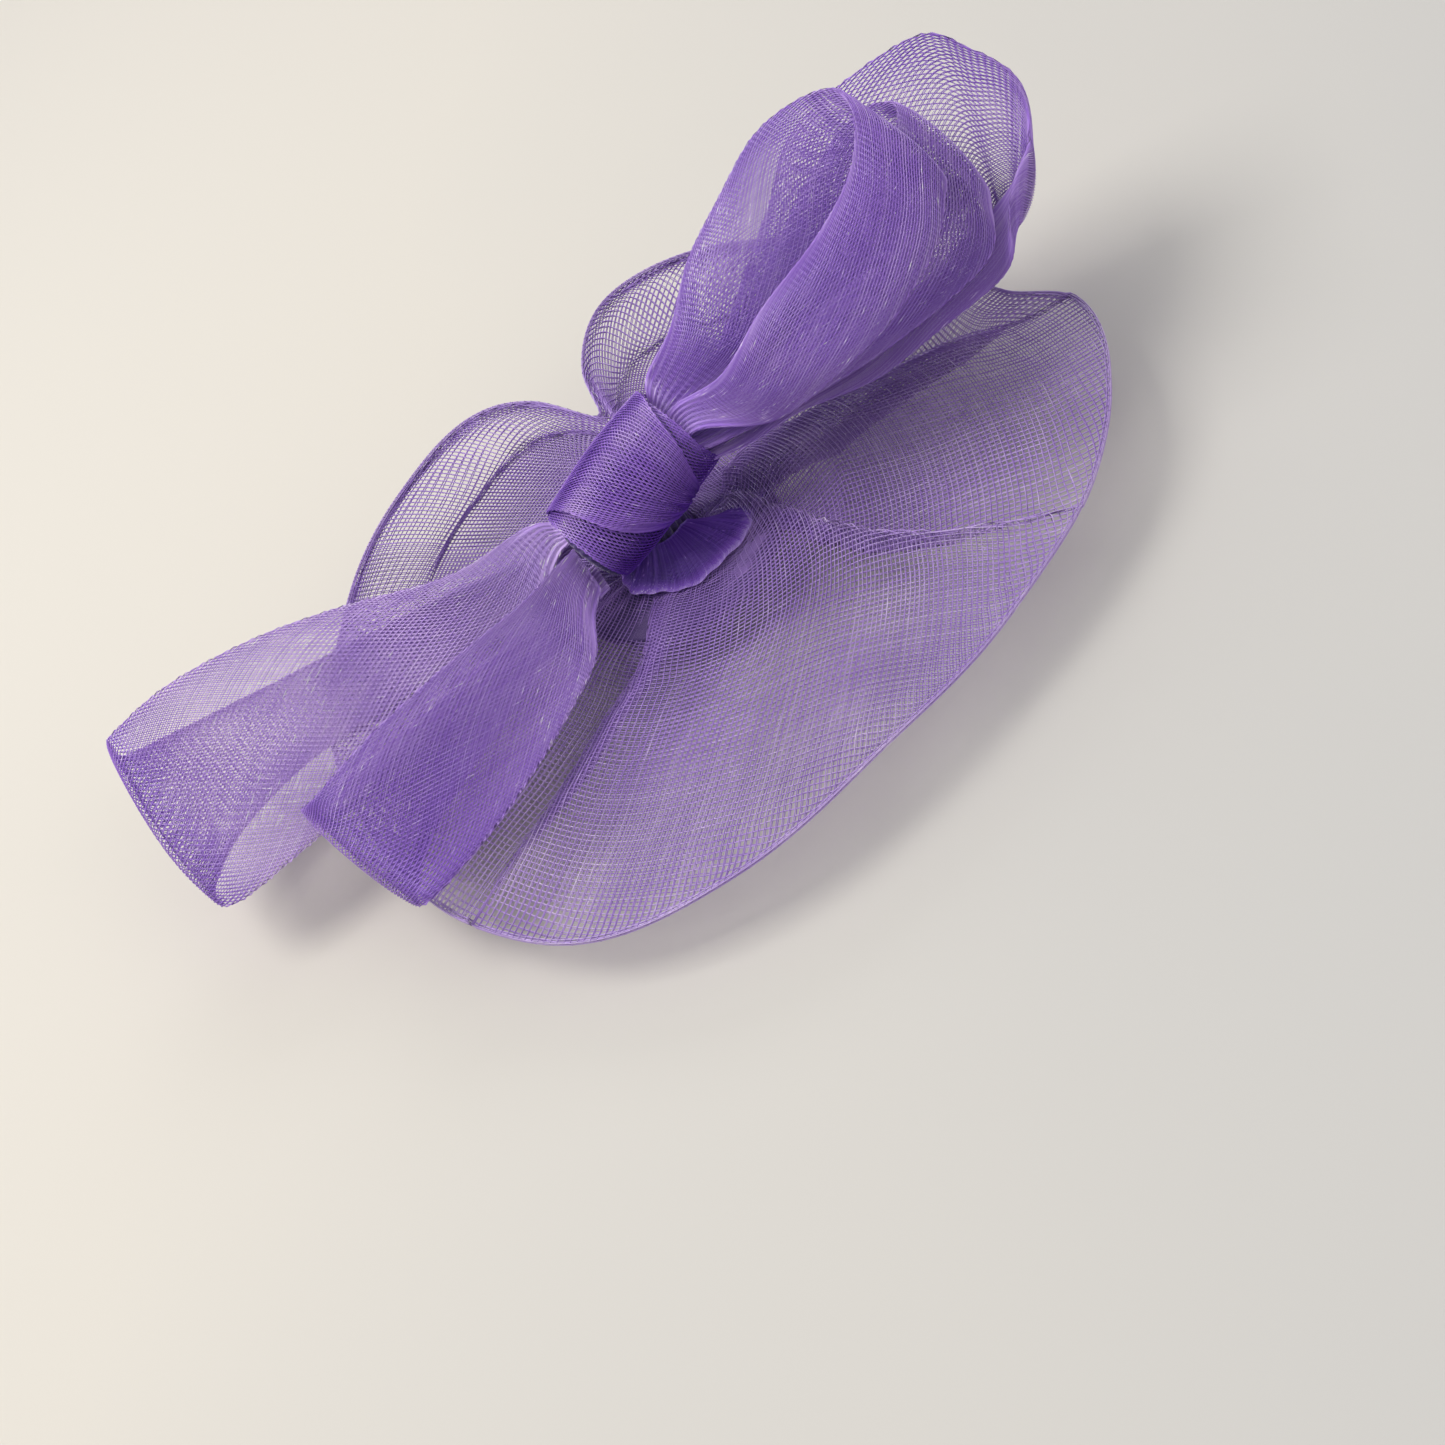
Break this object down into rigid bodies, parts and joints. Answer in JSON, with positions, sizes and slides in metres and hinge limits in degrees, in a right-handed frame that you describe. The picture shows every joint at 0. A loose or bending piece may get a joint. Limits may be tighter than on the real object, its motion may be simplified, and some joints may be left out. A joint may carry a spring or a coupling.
{
  "type": "fascinator headpiece",
  "caption": "Lilac crin fascinator: wavy net brim, knotted bow with tall loops and folded tails, felt pad and sprung beak hair clip.",
  "frame": {"origin": "centre of the felt pad's underside, where it sits on the head", "axes": "+Z away from the head, +X along the bow towards its tall loops, -Y towards the wearer's forehead"},
  "size_m": [0.2894, 0.2083, 0.0904],
  "materials": {
    "crin_brim": "sheer braided nylon net",
    "crin_bow": "braided nylon net, two layers",
    "crin_knot": "gathered nylon net with a silky sheen",
    "thread": "twisted sewing thread",
    "felt": "pressed felt",
    "clip_steel": "nickel-plated spring steel"
  },
  "bodies": {
    "root": {"brim": "crin_brim", "brim_collar": "crin_knot", "gathered_stalk": "crin_knot", "gather_thread": "thread", "front_loop": "crin_bow", "middle_loop": "crin_bow", "back_loop": "crin_bow", "long_tail": "crin_bow", "short_tail": "crin_bow", "knot_core": "crin_knot", "binding_thread": "thread", "knot_band": "crin_knot", "bow_stitches": "thread", "felt_pad": "felt", "backing_felt": "felt", "clip_plate": "clip_steel", "clip_pin": "clip_steel", "clip_spring": "clip_steel", "clip_stitches": "thread"},
    "jaw": {"clip_jaw": "clip_steel"}
  },
  "joints": [
    {"name": "clip_hinge", "type": "hinge", "parent": "root", "child": "jaw", "pos_m": [0.006, 0, -0.0042], "axis": [0, -1, 0], "range_deg": [0, 22], "stiffness_Nm_per_rad": 0.01, "springref_deg": -17.19}
  ]
}
